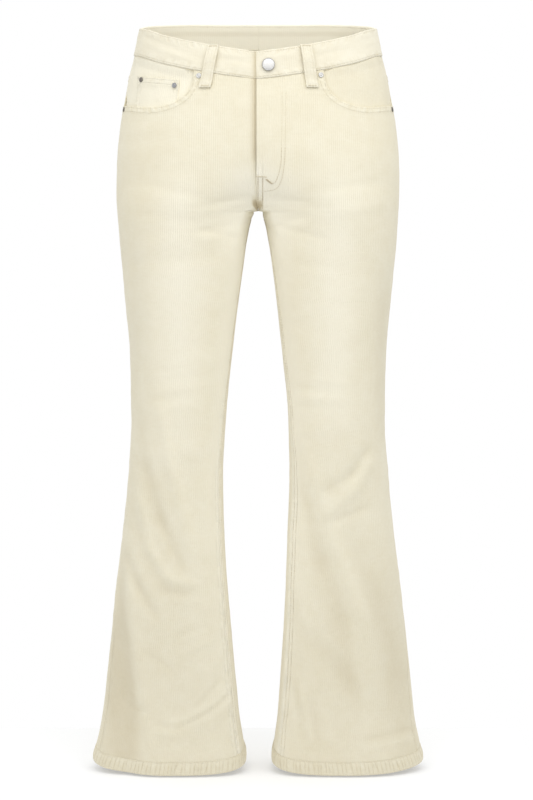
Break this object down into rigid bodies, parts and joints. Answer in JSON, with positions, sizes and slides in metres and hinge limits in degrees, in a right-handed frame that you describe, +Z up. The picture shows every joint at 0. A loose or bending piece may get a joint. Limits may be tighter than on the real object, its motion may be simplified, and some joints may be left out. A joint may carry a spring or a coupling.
{
  "type": "bootcut jeans",
  "caption": "Plain cream corduroy bootcut jeans, filled out as worn with no wearer, with scooped front pockets, a coin pocket, belt loops, patch back pockets and a shank button.",
  "frame": {"origin": "centre of the waist opening, level with the waist's top edge at the side seams", "axes": "+Z up along the wearer's body, -Y towards the front (fly), +X towards the wearer's left"},
  "size_m": [0.4756, 0.2318, 1.0661],
  "materials": {
    "corduroy": "wide-wale cotton corduroy, matt with a soft sheen on the wales",
    "metal": "satin nickel plate"
  },
  "bodies": {
    "root": {"front_right": "corduroy", "front_left": "corduroy", "back_right": "corduroy", "back_left": "corduroy", "yoke_right": "corduroy", "yoke_left": "corduroy", "pocket_bearer_right": "corduroy", "pocket_bearer_left": "corduroy", "coin_pocket": "corduroy", "fly_shield": "corduroy", "waistband_right": "corduroy", "waistband_left": "corduroy", "belt_loop_front_right": "corduroy", "belt_loop_front_left": "corduroy", "belt_loop_side_right": "corduroy", "belt_loop_side_left": "corduroy", "belt_loop_centre_back": "corduroy", "back_pocket_right": "corduroy", "back_pocket_left": "corduroy", "hem_right": "corduroy", "hem_left": "corduroy", "shank_button": "metal", "rivet_mouth_top_right": "metal", "rivet_mouth_top_left": "metal", "rivet_mouth_side_right": "metal", "rivet_mouth_side_left": "metal", "rivet_coin_pocket_inner": "metal", "rivet_coin_pocket_outer": "metal"}
  },
  "joints": []
}
